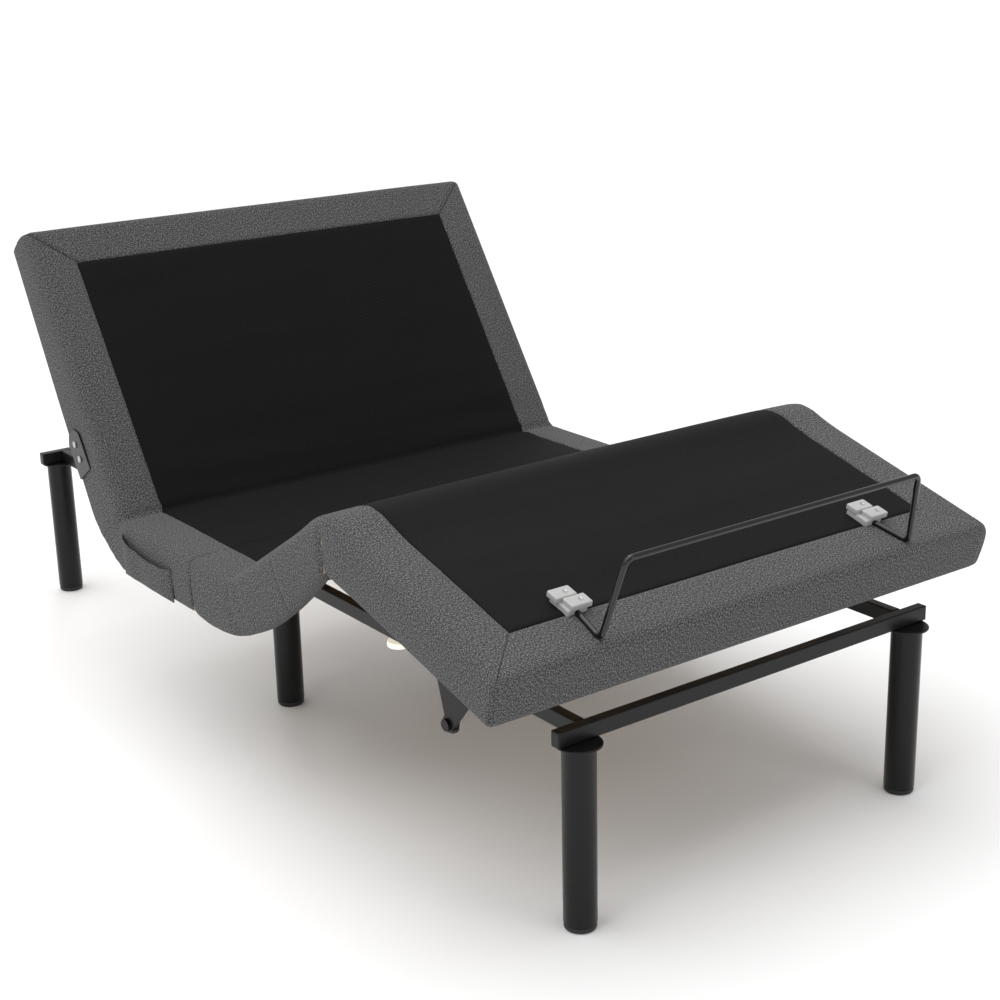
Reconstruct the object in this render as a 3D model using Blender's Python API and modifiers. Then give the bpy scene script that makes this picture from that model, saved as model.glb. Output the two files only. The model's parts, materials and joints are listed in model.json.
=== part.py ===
"""Adjustable bed base: four hinged upholstered deck sections on a tube frame with six legs.

Metres, +Z up, +Y towards the head end, X across. The floor is z = 0. Every section is modelled
lying flat in its own axes and is raised by the empty that stands on its hinge axis.
"""

import math

import bmesh
import bpy
from mathutils import Matrix, Vector

# ---- deck: sizes along the top surface, in the raised position ----
deck_width = 1.000
back_length = 0.590
seat_length = 0.401
thigh_length = 0.371
calf_length = 0.450
back_angle = math.radians(56.0)
thigh_angle = math.radians(31.2)
calf_slope = math.radians(15.2)
back_angle_most = math.radians(62.0)
thigh_angle_most = math.radians(40.0)
pad_height = 0.0254
board_height = 0.018
edge_height = 0.077
seat_edge_height = 0.095
apron_width = 0.018
foot_apron_width = 0.018
joint_gap = 0.005
hinge_pin_radius = 0.0042

# ---- frame ----
frame_top = 0.3214
tube_height = 0.0254
tube_width = 0.018
crossbar_length = 0.764
frame_length = 1.812
seat_hinge_to_foot = 0.732
rail_inset = 0.043
mid_crossbar_from_foot = 0.958
leg_radius = 0.0254
corner_leg_inset = 0.040
mid_leg_inset = 0.110
leg_from_face = 0.005
flange_radius = 0.035
flange_height = 0.004
rail_clearance = 0.002

# ---- lifting gear ----
lever_x = 0.080
lever_width = 0.008
lever_eye_radius = 0.021
pin_radius = 0.005
back_pin_play = 0.0065
thigh_pin_play = 0.0035
back_lever_pin = (-0.024, -0.072)
thigh_lever_pin = (0.006, -0.075)
back_pin_lead = -0.0006
actuator_reach_back = 0.600
actuator_reach_thigh = 0.603
actuator_pivot_drop = 0.050
tube_radius = 0.0165
rod_radius = 0.012
rod_clearance = 0.0006
housing_length = 0.350

# ---- support links of the lower-leg section ----
link_pivot_from_foot = 0.320
link_pivot_height = 0.210
bracket_back = 0.270
bracket_drop = 0.060
link_width = 0.026
link_thick = 0.006
link_play = 0.0065
link_eye_lead = (0.0020, 0.0010)

# ---- fittings ----
bar_wire_radius = 0.0048
bar_rise = 0.125
bar_half_span = 0.302
bar_clamp_back = 0.094
bar_bend_back = 0.012
clamp_length = 0.046
clamp_width = 0.060
clamp_height = 0.017
gap = 0.0003

# ---- values that follow from those above ----
half_width = deck_width / 2
hinge_z = frame_top + rail_clearance + board_height
deck_top = hinge_z + pad_height
back_axis_y = seat_hinge_to_foot + seat_length + pad_height * math.tan(back_angle / 2)
thigh_axis_y = seat_hinge_to_foot - pad_height * math.tan(thigh_angle / 2)
knee_angle = thigh_angle + calf_slope
knee_angle_most = thigh_angle_most * knee_angle / thigh_angle
back_reach = back_length + pad_height * math.tan(back_angle / 2)
thigh_reach = thigh_length + pad_height * (math.tan(thigh_angle / 2) - math.tan(knee_angle / 2))
calf_reach = calf_length - pad_height * math.tan(knee_angle / 2)
rail_outer = crossbar_length / 2 - rail_inset
rail_inner = rail_outer - tube_width
tube_z = frame_top - tube_height
foot_end_y = thigh_axis_y - thigh_reach * math.cos(thigh_angle) - calf_reach * math.cos(calf_slope)
foot_end_y -= pad_height * math.sin(calf_slope)
bar_top_y = foot_end_y + bar_bend_back * math.cos(calf_slope)
bar_top_y -= (bar_rise + 2 * bar_wire_radius) * math.sin(calf_slope) + bar_wire_radius
head_end_y = frame_length - leg_from_face + flange_radius
centre_y = (bar_top_y + head_end_y) / 2

back_pivot = Vector((0, back_axis_y - centre_y, hinge_z))
thigh_pivot = Vector((0, thigh_axis_y - centre_y, hinge_z))
knee_pivot = Vector((0, thigh_axis_y - thigh_reach - centre_y, hinge_z))


def clear_scene():
    for obj in list(bpy.data.objects):
        bpy.data.objects.remove(obj, do_unlink=True)
    for mesh in list(bpy.data.meshes):
        bpy.data.meshes.remove(mesh)
    for material in list(bpy.data.materials):
        bpy.data.materials.remove(material)


clear_scene()
base = bpy.data.collections.new("adjustable_bed_base")
cutters = bpy.data.collections.new("cutters")
bpy.context.scene.collection.children.link(base)
bpy.context.scene.collection.children.link(cutters)


def finish(name, colour, roughness, metallic=0.0):
    """A Principled material in a flat colour."""
    made = bpy.data.materials.new(name)
    made.use_nodes = True
    shader = made.node_tree.nodes["Principled BSDF"]
    shader.inputs["Base Color"].default_value = (*colour, 1.0)
    shader.inputs["Roughness"].default_value = roughness
    shader.inputs["Metallic"].default_value = metallic
    made.diffuse_color = (*colour, 1.0)
    return made


powder_black = (0.012, 0.012, 0.013)
fabric_grey = (0.115, 0.115, 0.117)
plywood = (0.42, 0.30, 0.18)
clamp_grey = (0.62, 0.62, 0.61)
looks = {
    "frame": (powder_black, 0.35, 0.6),
    "leg": ((0.010, 0.010, 0.011), 0.32, 0.6),
    "pad": (fabric_grey, 0.95, 0.0),
    "board": (plywood, 0.70, 0.0),
    "plastic": ((0.020, 0.020, 0.021), 0.55, 0.0),
    "wire": ((0.008, 0.008, 0.009), 0.22, 0.4),
    "clamp": (clamp_grey, 0.45, 0.0),
    "steel": ((0.45, 0.45, 0.46), 0.35, 1.0),
    "lens": ((0.85, 0.82, 0.70), 0.30, 0.0),
    "pocket": ((0.105, 0.105, 0.107), 0.95, 0.0),
}


# ---- bodies: an empty on each hinge axis ----
bodies = {"root": None}
pivots = {"root": Vector((0, 0, 0))}


def add_body(name, parent, pivot, angle):
    """An empty at a hinge, turned to the raised position; its children are placed lying flat."""
    empty = bpy.data.objects.new("axis_" + name, None)
    base.objects.link(empty)
    empty.empty_display_size = 0.05
    empty.location = pivot - pivots[parent]
    empty.rotation_euler = (angle, 0, 0)
    if bodies[parent]:
        empty.parent = bodies[parent]
    bodies[name] = empty
    pivots[name] = Vector(pivot)


def place(obj, body, at, look=None):
    """Puts an object on a body at a flat-position point and gives it its own material."""
    base.objects.link(obj)
    obj.location = Vector(at) - pivots[body]
    if bodies[body]:
        obj.parent = bodies[body]
    if look:
        obj.data.materials.append(finish(obj.name + "_finish", *looks[look]))
    return obj


def as_cutter(obj):
    """Moves an object to the cutters, hidden in renders."""
    base.objects.unlink(obj)
    cutters.objects.link(obj)
    obj.hide_render = True
    obj.display_type = "WIRE"
    return obj


def combine(target, other, operation):
    """A live exact Boolean of target with other, which becomes a cutter."""
    as_cutter(other)
    step = target.modifiers.new(operation.lower() + "_" + other.name, "BOOLEAN")
    step.object = other
    step.operation = operation
    step.solver = "EXACT"
    return target


def mesh_object(name, bm):
    bmesh.ops.recalc_face_normals(bm, faces=bm.faces)
    mesh = bpy.data.meshes.new(name)
    bm.to_mesh(mesh)
    bm.free()
    return bpy.data.objects.new(name, mesh)


def box(name, size, body, at, look=None, bevel=0.0, segments=2):
    """A block centred on a point, with its edges rounded if a bevel is given."""
    bm = bmesh.new()
    bmesh.ops.create_cube(bm, size=1.0)
    bmesh.ops.scale(bm, vec=size, verts=bm.verts)
    obj = place(mesh_object(name, bm), body, at, look)
    if bevel:
        edge = obj.modifiers.new("rounded_edges", "BEVEL")
        edge.width = bevel
        edge.segments = segments
        edge.limit_method = "ANGLE"
    return obj


turns = {"X": Matrix.Rotation(math.pi / 2, 3, "Y"), "Y": Matrix.Rotation(-math.pi / 2, 3, "X")}


def rod(name, radius, length, body, at, look=None, along="Z", sides=24, bevel=0.0):
    """A round bar centred on a point, along one axis."""
    bm = bmesh.new()
    bmesh.ops.create_cone(bm, cap_ends=True, segments=sides, radius1=radius, radius2=radius, depth=length)
    if along in turns:
        bmesh.ops.rotate(bm, cent=(0, 0, 0), matrix=turns[along], verts=bm.verts)
    for face in bm.faces:
        face.smooth = len(face.verts) == 4
    obj = place(mesh_object(name, bm), body, at, look)
    if bevel:
        edge = obj.modifiers.new("rounded_rim", "BEVEL")
        edge.width = bevel
        edge.segments = 2
        edge.limit_method = "ANGLE"
        edge.angle_limit = math.radians(50)
    return obj


def outline(name, points, thickness, body, at, look=None):
    """A flat outline in the YZ plane, extruded across X about its middle."""
    curve = bpy.data.curves.new(name + "_outline", "CURVE")
    curve.dimensions = "2D"
    curve.fill_mode = "BOTH"
    curve.extrude = thickness / 2
    line = curve.splines.new("POLY")
    line.points.add(len(points) - 1)
    for point, (y, z) in zip(line.points, points):
        point.co = (y, z, 0, 1)
    line.use_cyclic_u = True
    holder = bpy.data.objects.new(name + "_outline", curve)
    bpy.context.scene.collection.objects.link(holder)
    graph = bpy.context.evaluated_depsgraph_get()
    mesh = bpy.data.meshes.new_from_object(holder.evaluated_get(graph))
    bpy.data.objects.remove(holder, do_unlink=True)
    bm = bmesh.new()
    bm.from_mesh(mesh)
    bpy.data.meshes.remove(mesh)
    bmesh.ops.remove_doubles(bm, verts=bm.verts, dist=0.00001)
    spin = Matrix(((0, 0, 1), (1, 0, 0), (0, 1, 0)))
    bmesh.ops.transform(bm, matrix=spin.to_4x4(), verts=bm.verts)
    return place(mesh_object(name, bm), body, at, look)


def arc(centre, radius, first, last, steps):
    """Points on an arc in the YZ plane, angles in degrees."""
    found = []
    for step in range(steps + 1):
        angle = math.radians(first + (last - first) * step / steps)
        found.append((centre[0] + radius * math.cos(angle), centre[1] + radius * math.sin(angle)))
    return found


def strap(first, last, radius_first, radius_last, steps=8):
    """The outline of a bar with a round end about each of two points."""
    heading = math.degrees(math.atan2(last[1] - first[1], last[0] - first[0]))
    near = arc(first, radius_first, heading + 90, heading + 270, steps)
    far = arc(last, radius_last, heading - 90, heading + 90, steps)
    return near + far


def world(y_from_foot, z, x=0.0):
    """A point given by its distance from the foot crossbar's outer face."""
    return Vector((x, y_from_foot - centre_y, z))


def mirrored(build):
    """Runs a builder for the left side (-1) and the right side (+1)."""
    for side, word in ((-1, "left"), (1, "right")):
        build(side, word)


add_body("back", "root", back_pivot, back_angle)
add_body("thigh", "root", thigh_pivot, -thigh_angle)
add_body("calf", "thigh", knee_pivot, knee_angle)

# ---- frame tubes ----
tube_mid_z = frame_top - tube_height / 2
for end, y in (("foot", tube_width / 2), ("head", frame_length - tube_width / 2)):
    box(end + "_crossbar", (crossbar_length, tube_width, tube_height), "root", world(y, tube_mid_z), "frame", 0.002)

rail_length = frame_length - 2 * tube_width - 2 * gap
mid_bar_length = 2 * (rail_inner - gap)


def build_rail(side, word):
    at = world(frame_length / 2, tube_mid_z, side * (rail_outer - tube_width / 2))
    box("side_rail_" + word, (tube_width, rail_length, tube_height), "root", at, "frame", 0.002)


mirrored(build_rail)
mid_bar_size = (mid_bar_length, tube_width, tube_height)
box("mid_crossbar", mid_bar_size, "root", world(mid_crossbar_from_foot, tube_mid_z), "frame", 0.002)

# ---- legs, each under a round flange ----
flange_z = tube_z - gap - flange_height / 2
leg_height = tube_z - gap - flange_height - gap
corner_leg_x = crossbar_length / 2 - corner_leg_inset
mid_leg_x = crossbar_length / 2 - mid_leg_inset
leg_rows = (
    ("foot", leg_from_face, corner_leg_x),
    ("middle", mid_crossbar_from_foot, mid_leg_x),
    ("head", frame_length - leg_from_face, corner_leg_x),
)


def build_legs(side, word):
    for row, y, x in leg_rows:
        label = row + "_" + word
        rod("leg_" + label, leg_radius, leg_height, "root", world(y, leg_height / 2, side * x), "leg", bevel=0.002)
        rod("flange_" + label, flange_radius, flange_height, "root", world(y, flange_z, side * x), "frame", sides=32)


mirrored(build_legs)


# ---- deck boards: trays of board with deep side aprons ----
apron_drop = edge_height - pad_height
board_inside = deck_width - 2 * apron_width
slant = math.tan(knee_angle_most / 2 + math.radians(1.0))


def tray(name, body, pivot, low_y, high_y, slant_low, slant_high, thick, drop, apron_at_foot=False):
    """A board with side aprons. y runs from the pivot; a slanted end leans back as it goes down."""
    points = (
        (low_y, 0),
        (high_y, 0),
        (high_y - slant_high * drop, -drop),
        (low_y + slant_low * drop, -drop),
    )
    made = outline(name, points, deck_width, body, pivot, "board")
    low = low_y + foot_apron_width if apron_at_foot else low_y - 0.02
    high = high_y + 0.02
    depth = drop - thick + 0.02
    size = (board_inside, high - low, depth)
    at = pivot + Vector((0, (low + high) / 2, -thick - depth / 2))
    combine(made, box(name + "_hollow", size, body, at), "DIFFERENCE")
    return made


tray("back_board", "back", back_pivot, joint_gap, back_reach, 0, 0, board_height, apron_drop)
tray("calf_board", "calf", knee_pivot, -calf_reach, -joint_gap, 0, slant, board_height, apron_drop, True)
tray("thigh_board", "thigh", thigh_pivot, joint_gap - thigh_reach, -joint_gap, slant, 0, board_height, apron_drop)
seat_low = thigh_axis_y + joint_gap - back_axis_y
seat_board_height = board_height + rail_clearance - gap
tray("seat_board", "root", back_pivot, seat_low, -joint_gap, 0, 0, seat_board_height, seat_edge_height - pad_height)

# ---- foam pads on the boards; those at a valley stop short, so that they close without touching ----
back_pad_setback = pad_height * math.tan(back_angle_most / 2) + 0.0005
thigh_pad_setback = pad_height * math.tan(thigh_angle_most / 2) + 0.0005
knee_pad_setback = joint_gap


def pad(name, body, pivot, low_y, high_y):
    size = (deck_width, high_y - low_y, pad_height - gap)
    at = pivot + Vector((0, (low_y + high_y) / 2, gap + size[2] / 2))
    return box(name, size, body, at, "pad", 0.006)


pad("back_pad", "back", back_pivot, back_pad_setback, back_reach)
pad("seat_pad", "root", back_pivot, thigh_axis_y + thigh_pad_setback - back_axis_y, -back_pad_setback)
pad("thigh_pad", "thigh", thigh_pivot, knee_pad_setback - thigh_reach, -thigh_pad_setback)
pad("calf_pad", "calf", knee_pivot, -calf_reach, -knee_pad_setback)

# ---- hinge pins ----
pin_length = deck_width - 2 * apron_width
hinge_list = (("back_hinge_pin", "root", back_pivot), ("thigh_hinge_pin", "root", thigh_pivot))
for name, body, pivot in hinge_list + (("knee_hinge_pin", "thigh", knee_pivot),):
    rod(name, hinge_pin_radius, pin_length, body, pivot, "steel", along="X", sides=12)

# ---- lift levers under the boards ----
lever_foot_width = 0.050
lever_foot_height = 0.004
lever_foot_start = 0.020
lever_foot_end = 0.100


def lever(name, body, pivot, pin, way, play, x):
    """A web plate with an oversize eye, and a foot plate against the board's underside."""
    under = -board_height - gap
    foot_z = under - lever_foot_height
    web = [(way * lever_foot_start, foot_z + 0.001), (way * lever_foot_end, foot_z + 0.001)]
    heading = math.degrees(math.atan2(foot_z - pin[1], way * lever_foot_end - pin[0]))
    start = heading - way * 90
    web += arc(pin, lever_eye_radius, start, start - way * 170, 12)
    at = pivot + Vector((x, 0, 0))
    made = outline(name, web, lever_width, body, at, "frame")
    middle = way * (lever_foot_start + lever_foot_end) / 2
    size = (lever_foot_width, lever_foot_end - lever_foot_start, lever_foot_height)
    foot = box(name + "_foot", size, body, at + Vector((0, middle, under - lever_foot_height / 2)))
    combine(made, foot, "UNION")
    eye = rod(name + "_eye", pin_radius + play, 0.05, body, at + Vector((0, *pin)), along="X")
    combine(made, eye, "DIFFERENCE")
    return made


lever("back_lever", "back", back_pivot, back_lever_pin, 1, back_pin_play, lever_x)
lever("thigh_lever", "thigh", thigh_pivot, thigh_lever_pin, -1, thigh_pin_play, -lever_x)


# ---- linear actuators ----
def turned(point, angle):
    """A (y, z) point turned about the X axis."""
    y = point[0] * math.cos(angle) - point[1] * math.sin(angle)
    z = point[0] * math.sin(angle) + point[1] * math.cos(angle)
    return Vector((0, y, z))


eye_half_width = 0.008
eye_radius = 0.014
gear_start = 0.017
gear_length = 0.080
tube_start = gear_start + gear_length
bore_start = tube_start + 0.020
motor_radius = 0.022
motor_length = 0.105
fork_setback = 0.034
fork_length = 0.014
cheek_offset = 0.0085
cheek_thick = 0.005
clevis_thick = 0.005


def actuator(word, pivot, pin_at, way):
    """Housing, motor and rod of one actuator. It lies along +Y before its axis turns it to its pin."""
    reach = (pin_at - pivot).length
    rise = math.atan2(pin_at.z - pivot.z, way * (pin_at.y - pivot.y))
    body = word + "_actuator"
    add_body(body, "root", pivot, way * rise)

    def along(distance, x=0.0, z=0.0):
        return pivot + Vector((x, way * distance, z))

    housing = box(body + "_housing", (0.052, gear_length, 0.038), body, along(gear_start + gear_length / 2), "plastic")
    eye_length = gear_start + 0.004
    combine(housing, box(body + "_neck", (2 * eye_half_width, eye_length, 0.022), body, along(eye_length / 2)), "UNION")
    combine(housing, rod(body + "_eye", eye_radius, 2 * eye_half_width, body, pivot, along="X"), "UNION")
    tube_length = housing_length - tube_start + 0.004
    tube_mid = along(housing_length - tube_length / 2)
    combine(housing, rod(body + "_tube", tube_radius, tube_length, body, tube_mid, along="Y"), "UNION")
    bore_length = housing_length - bore_start + 0.01
    bore_mid = along(bore_start + bore_length / 2)
    bore = rod(body + "_bore", rod_radius + rod_clearance, bore_length, body, bore_mid, along="Y")
    combine(housing, bore, "DIFFERENCE")
    hole = rod(body + "_hole", pin_radius + rod_clearance, 0.06, body, pivot, along="X")
    combine(housing, hole, "DIFFERENCE")

    motor_z = -0.019 - gap - motor_radius
    motor_mid = along(gear_start + motor_length / 2, z=motor_z)
    rod(body + "_motor", motor_radius, motor_length, body, motor_mid, "plastic", along="Y", bevel=0.003)

    slide = word + "_rod"
    add_body(slide, body, along(reach), 0)
    rod_end = reach - fork_setback - fork_length + 0.002
    rod_start = bore_start + 0.095
    inner = rod(slide, rod_radius, rod_end - rod_start, slide, along((rod_start + rod_end) / 2), "steel", along="Y")
    block = (2 * cheek_offset + cheek_thick + 0.002, fork_length, 0.026)
    combine(inner, box(slide + "_block", block, slide, along(reach - fork_setback - fork_length / 2)), "UNION")
    cheek_length = fork_setback + fork_length / 2 + 0.012
    for side in (-1, 1):
        cheek = box(
            slide + ("_cheek_low" if side < 0 else "_cheek_high"),
            (cheek_thick, cheek_length, 0.0225),
            slide,
            along(reach + 0.012 - cheek_length / 2, x=side * cheek_offset),
        )
        combine(inner, cheek, "UNION")
    pin_bar = rod(slide + "_pin", pin_radius, 2 * cheek_offset + cheek_thick + 0.004, slide, along(reach), along="X")
    combine(inner, pin_bar, "UNION")


def clevis_tube(name, y, x, pivot_z):
    """A cross tube between the side rails with two ears and the fixed pin of an actuator."""
    made = box(name, mid_bar_size, "root", world(y, tube_mid_z), "frame")
    ear_top = tube_z + 0.004
    ear_low = pivot_z - 0.012
    for side in (-1, 1):
        ear = box(
            name + ("_ear_low" if side < 0 else "_ear_high"),
            (clevis_thick, tube_width - 0.0002, ear_top - ear_low),
            "root",
            world(y, (ear_top + ear_low) / 2, x + side * (eye_half_width + 0.001 + clevis_thick / 2)),
        )
        combine(made, ear, "UNION")
    span = 2 * (eye_half_width + 0.001 + clevis_thick) + 0.006
    combine(made, rod(name + "_pin", pin_radius, span, "root", world(y, pivot_z, x), along="X"), "UNION")


actuator_z = frame_top - actuator_pivot_drop
back_actuator_y = back_axis_y - actuator_reach_back
thigh_actuator_y = thigh_axis_y + actuator_reach_thigh
clevis_tube("back_actuator_tube", back_actuator_y, lever_x, actuator_z)
clevis_tube("thigh_actuator_tube", thigh_actuator_y, -lever_x, actuator_z)
back_rod_pin = back_pivot + Vector((lever_x, 0, 0)) + turned(back_lever_pin, back_angle)
back_rod_pin += Vector((0, back_pin_lead, 0))
thigh_rod_pin = thigh_pivot - Vector((lever_x, 0, 0)) + turned(thigh_lever_pin, -thigh_angle)
actuator("back", world(back_actuator_y, actuator_z, lever_x), back_rod_pin, 1)
actuator("thigh", world(thigh_actuator_y, actuator_z, -lever_x), thigh_rod_pin, -1)

# ---- hangers, links and brackets that carry the lower-leg section ----
plate_thick = 0.005
hanger_x = rail_outer + gap + plate_thick / 2
link_x = rail_outer + gap + plate_thick + 0.0008 + link_thick / 2
bracket_x = link_x + link_thick / 2 + 0.0058 + plate_thick / 2
link_pin_radius = 0.006
link_pivot = world(link_pivot_from_foot, link_pivot_height)
bracket_pin_flat = knee_pivot + Vector((0, -bracket_back, -bracket_drop))
knee_raised = thigh_pivot + turned((-thigh_reach, 0), -thigh_angle)
bracket_pin_raised = knee_raised + turned((-bracket_back, -bracket_drop), calf_slope)
link_eye_raised = bracket_pin_raised + Vector((0, *link_eye_lead))
link_length = (link_eye_raised - link_pivot).length
link_rise = math.atan2(link_eye_raised.z - link_pivot.z, link_eye_raised.y - link_pivot.y)


def build_link(side, word):
    shift = Vector((side * hanger_x, 0, 0))
    top = tube_mid_z + 0.010 - link_pivot_height
    shape = [(-0.034, top), (-0.040, top - 0.012), (-0.016, -0.004)]
    shape += arc((0, 0), 0.017, 194, 346, 8)
    shape += [(0.017, 0.010), (0.040, top - 0.022), (0.040, top)]
    hanger = outline("link_hanger_" + word, shape, plate_thick, "root", link_pivot + shift, "frame")
    stud_length = link_thick + 0.006
    stud_mid = link_pivot + Vector((side * (hanger_x + plate_thick / 2 + stud_length / 2 - 0.001), 0, 0))
    stud = rod("hanger_stud_" + word, link_pin_radius, stud_length, "root", stud_mid, along="X")
    combine(hanger, stud, "UNION")
    head_x = link_x + link_thick / 2 + 0.0008 + 0.002
    head = rod("hanger_head_" + word, 0.010, 0.004, "root", link_pivot + Vector((side * head_x, 0, 0)), along="X")
    combine(hanger, head, "UNION")

    swing = "link_" + word
    add_body(swing, "root", link_pivot, link_rise)
    at = link_pivot + Vector((side * link_x, 0, 0))
    far_radius = pin_radius + link_play + 0.007
    shape = strap((0, 0), (link_length, 0), link_width / 2, far_radius, 10)
    link = outline("leg_link_" + word, shape, link_thick, swing, at, "frame")
    bore = rod("link_bore_" + word, link_pin_radius + 0.0005, 0.03, swing, at, along="X")
    combine(link, bore, "DIFFERENCE")
    far = at + Vector((0, link_length, 0))
    combine(link, rod("link_eye_" + word, pin_radius + link_play, 0.03, swing, far, along="X"), "DIFFERENCE")

    at = bracket_pin_flat + Vector((side * bracket_x, 0, 0))
    rise = bracket_drop - board_height - gap
    shape = arc((0, 0), 0.014, 200, 340, 8) + [(0.030, rise), (-0.030, rise)]
    bracket = outline("link_bracket_" + word, shape, plate_thick, "calf", at, "frame")
    pad_size = (0.026, 0.070, 0.004)
    foot = box("bracket_foot_" + word, pad_size, "calf", at + Vector((side * 0.010, 0, rise - 0.002)))
    combine(bracket, foot, "UNION")
    reach = 0.0058 + link_thick + 0.001
    stud_mid = at - Vector((side * (plate_thick / 2 + reach / 2 - 0.001), 0, 0))
    stud = rod("bracket_stud_" + word, pin_radius, reach, "calf", stud_mid, along="X")
    combine(bracket, stud, "UNION")


mirrored(build_link)

# ---- cross brace, motors and electrics under the boards ----
brace_length = 2 * (rail_inner - 0.025)
under_z = -board_height - gap
brace_size = (brace_length, 0.020, 0.018)
box("back_brace", brace_size, "back", back_pivot + Vector((0, 0.30, under_z - 0.009)), "frame", 0.002)
motor_height = 0.034
for name, body, pivot, y in (
    ("back_massage_motor", "back", back_pivot, 0.40),
    ("calf_massage_motor", "calf", knee_pivot, -0.22),
):
    at = pivot + Vector((0, y, under_z - motor_height / 2))
    rod(name, 0.048, motor_height, body, at, "plastic", sides=32, bevel=0.004)

box_y = mid_crossbar_from_foot + flange_radius + 0.0625
for name, side, height in (("power_supply", -1, 0.038), ("control_box", 1, 0.044)):
    at = world(box_y, frame_top - height / 2, side * (rail_inner - 0.095))
    box(name, (0.140, 0.115, height), "root", at, "plastic", 0.004)


def build_light(side, word):
    at = world(0.48, tube_z - gap - 0.005, side * (rail_outer - tube_width / 2))
    rod("light_" + word, 0.020, 0.010, "root", at, "lens", sides=24, bevel=0.002)


mirrored(build_light)

# ---- charging plate on the left edge of the back section ----
plate_y = 0.182
plate_z = -0.058
plate_half_long = 0.043
plate_half_high = 0.029
cut = 0.014
shape = (
    (-plate_half_long, -plate_half_high),
    (plate_half_long - cut, -plate_half_high),
    (plate_half_long, -plate_half_high + cut),
    (plate_half_long, plate_half_high - cut),
    (plate_half_long - cut, plate_half_high),
    (-plate_half_long, plate_half_high),
)
plate_at = back_pivot + Vector((-half_width - gap - 0.003, plate_y, plate_z))
outline("charging_plate", shape, 0.006, "back", plate_at, "plastic")
for word, dy in (("upper", 0.018), ("lower", -0.012)):
    at = back_pivot + Vector((-half_width - gap - 0.006 - gap - 0.001, plate_y + dy, plate_z))
    rod("charging_port_" + word, 0.0065, 0.002, "back", at, "steel", along="X", sides=20)

# ---- pocket for the remote on the left edge of the seat ----
pocket_wall = 0.0025
pocket_slot = 0.006
pocket_length = 0.190
pocket_from_back_hinge = 0.0997
pocket_height = 0.066
pocket_thick = 2 * pocket_wall + pocket_slot
pocket_y = seat_hinge_to_foot + seat_length - pocket_from_back_hinge
pocket_z = deck_top - seat_edge_height - 0.006 + pocket_height / 2
pocket_at = world(pocket_y, pocket_z, -half_width - gap - pocket_thick / 2)
pocket = box("remote_pocket", (pocket_thick, pocket_length, pocket_height), "root", pocket_at, "pocket")
slot_size = (pocket_slot, pocket_length - 2 * pocket_wall, pocket_height)
combine(pocket, box("pocket_slot", slot_size, "root", pocket_at + Vector((0, 0, pocket_wall))), "DIFFERENCE")

# ---- mattress retainer bar and its clamps at the foot end ----
bar_z = pad_height + gap + 0.0062
foot_y = -calf_reach
bar_at = knee_pivot


def hoop_points():
    """The bar's centre line from one clamp over the top to the other, with rounded bends."""
    half = (
        (bar_half_span - 0.022, foot_y + bar_clamp_back, bar_z),
        (bar_half_span - 0.020, foot_y + bar_clamp_back - 0.030, bar_z),
        (bar_half_span + 0.010, foot_y + bar_bend_back + 0.008, bar_z),
        (bar_half_span + 0.012, foot_y + bar_bend_back + 0.001, bar_z + 0.006),
        (bar_half_span - 0.007, foot_y + bar_bend_back, bar_z + bar_rise - 0.007),
        (bar_half_span - 0.014, foot_y + bar_bend_back, bar_z + bar_rise),
    )
    left = [(-x, y, z) for x, y, z in half]
    return left + list(reversed(half))


def wire(name, points, radius, body, at, look):
    curve = bpy.data.curves.new(name, "CURVE")
    curve.dimensions = "3D"
    curve.bevel_depth = radius
    curve.bevel_resolution = 2
    curve.use_fill_caps = True
    line = curve.splines.new("POLY")
    line.points.add(len(points) - 1)
    for point, co in zip(line.points, points):
        point.co = (*co, 1)
    holder = bpy.data.objects.new(name + "_line", curve)
    bpy.context.scene.collection.objects.link(holder)
    graph = bpy.context.evaluated_depsgraph_get()
    mesh = bpy.data.meshes.new_from_object(holder.evaluated_get(graph))
    bpy.data.objects.remove(holder, do_unlink=True)
    bm = bmesh.new()
    bm.from_mesh(mesh)
    bpy.data.meshes.remove(mesh)
    bmesh.ops.remove_doubles(bm, verts=bm.verts, dist=0.00001)
    for face in bm.faces:
        face.smooth = True
    return place(mesh_object(name, bm), body, at, look)


wire("retainer_bar", hoop_points(), bar_wire_radius, "calf", bar_at, "wire")


def build_clamp(side, word):
    x = side * (bar_half_span - 0.021)
    y = foot_y + bar_clamp_back
    low = Vector((x - side * 0.014, y + 0.002, pad_height + gap + clamp_height / 2))
    lower = box("clamp_base_" + word, (clamp_width, clamp_length, clamp_height), "calf", bar_at + low, "clamp", 0.002)
    groove = Vector((x, y - 0.012, pad_height + gap + 0.006))
    groove_size = (2 * bar_wire_radius + 0.004, 0.060, 2 * bar_wire_radius + 0.005)
    combine(lower, box("clamp_groove_" + word, groove_size, "calf", bar_at + groove), "DIFFERENCE")
    top = low + Vector((-side * 0.004, 0.006, clamp_height / 2 + gap + 0.003))
    box("clamp_cap_" + word, (clamp_width - 0.022, clamp_length - 0.016, 0.006), "calf", bar_at + top, "clamp", 0.0015)


mirrored(build_clamp)

bpy.context.view_layer.update()
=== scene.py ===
"""Looks of the adjustable bed base: upholstered deck, frame, legs, lifting gear and fittings."""

import json
import math

import bmesh
import bpy
import numpy as np
from mathutils import Matrix, Vector, noise


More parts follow.
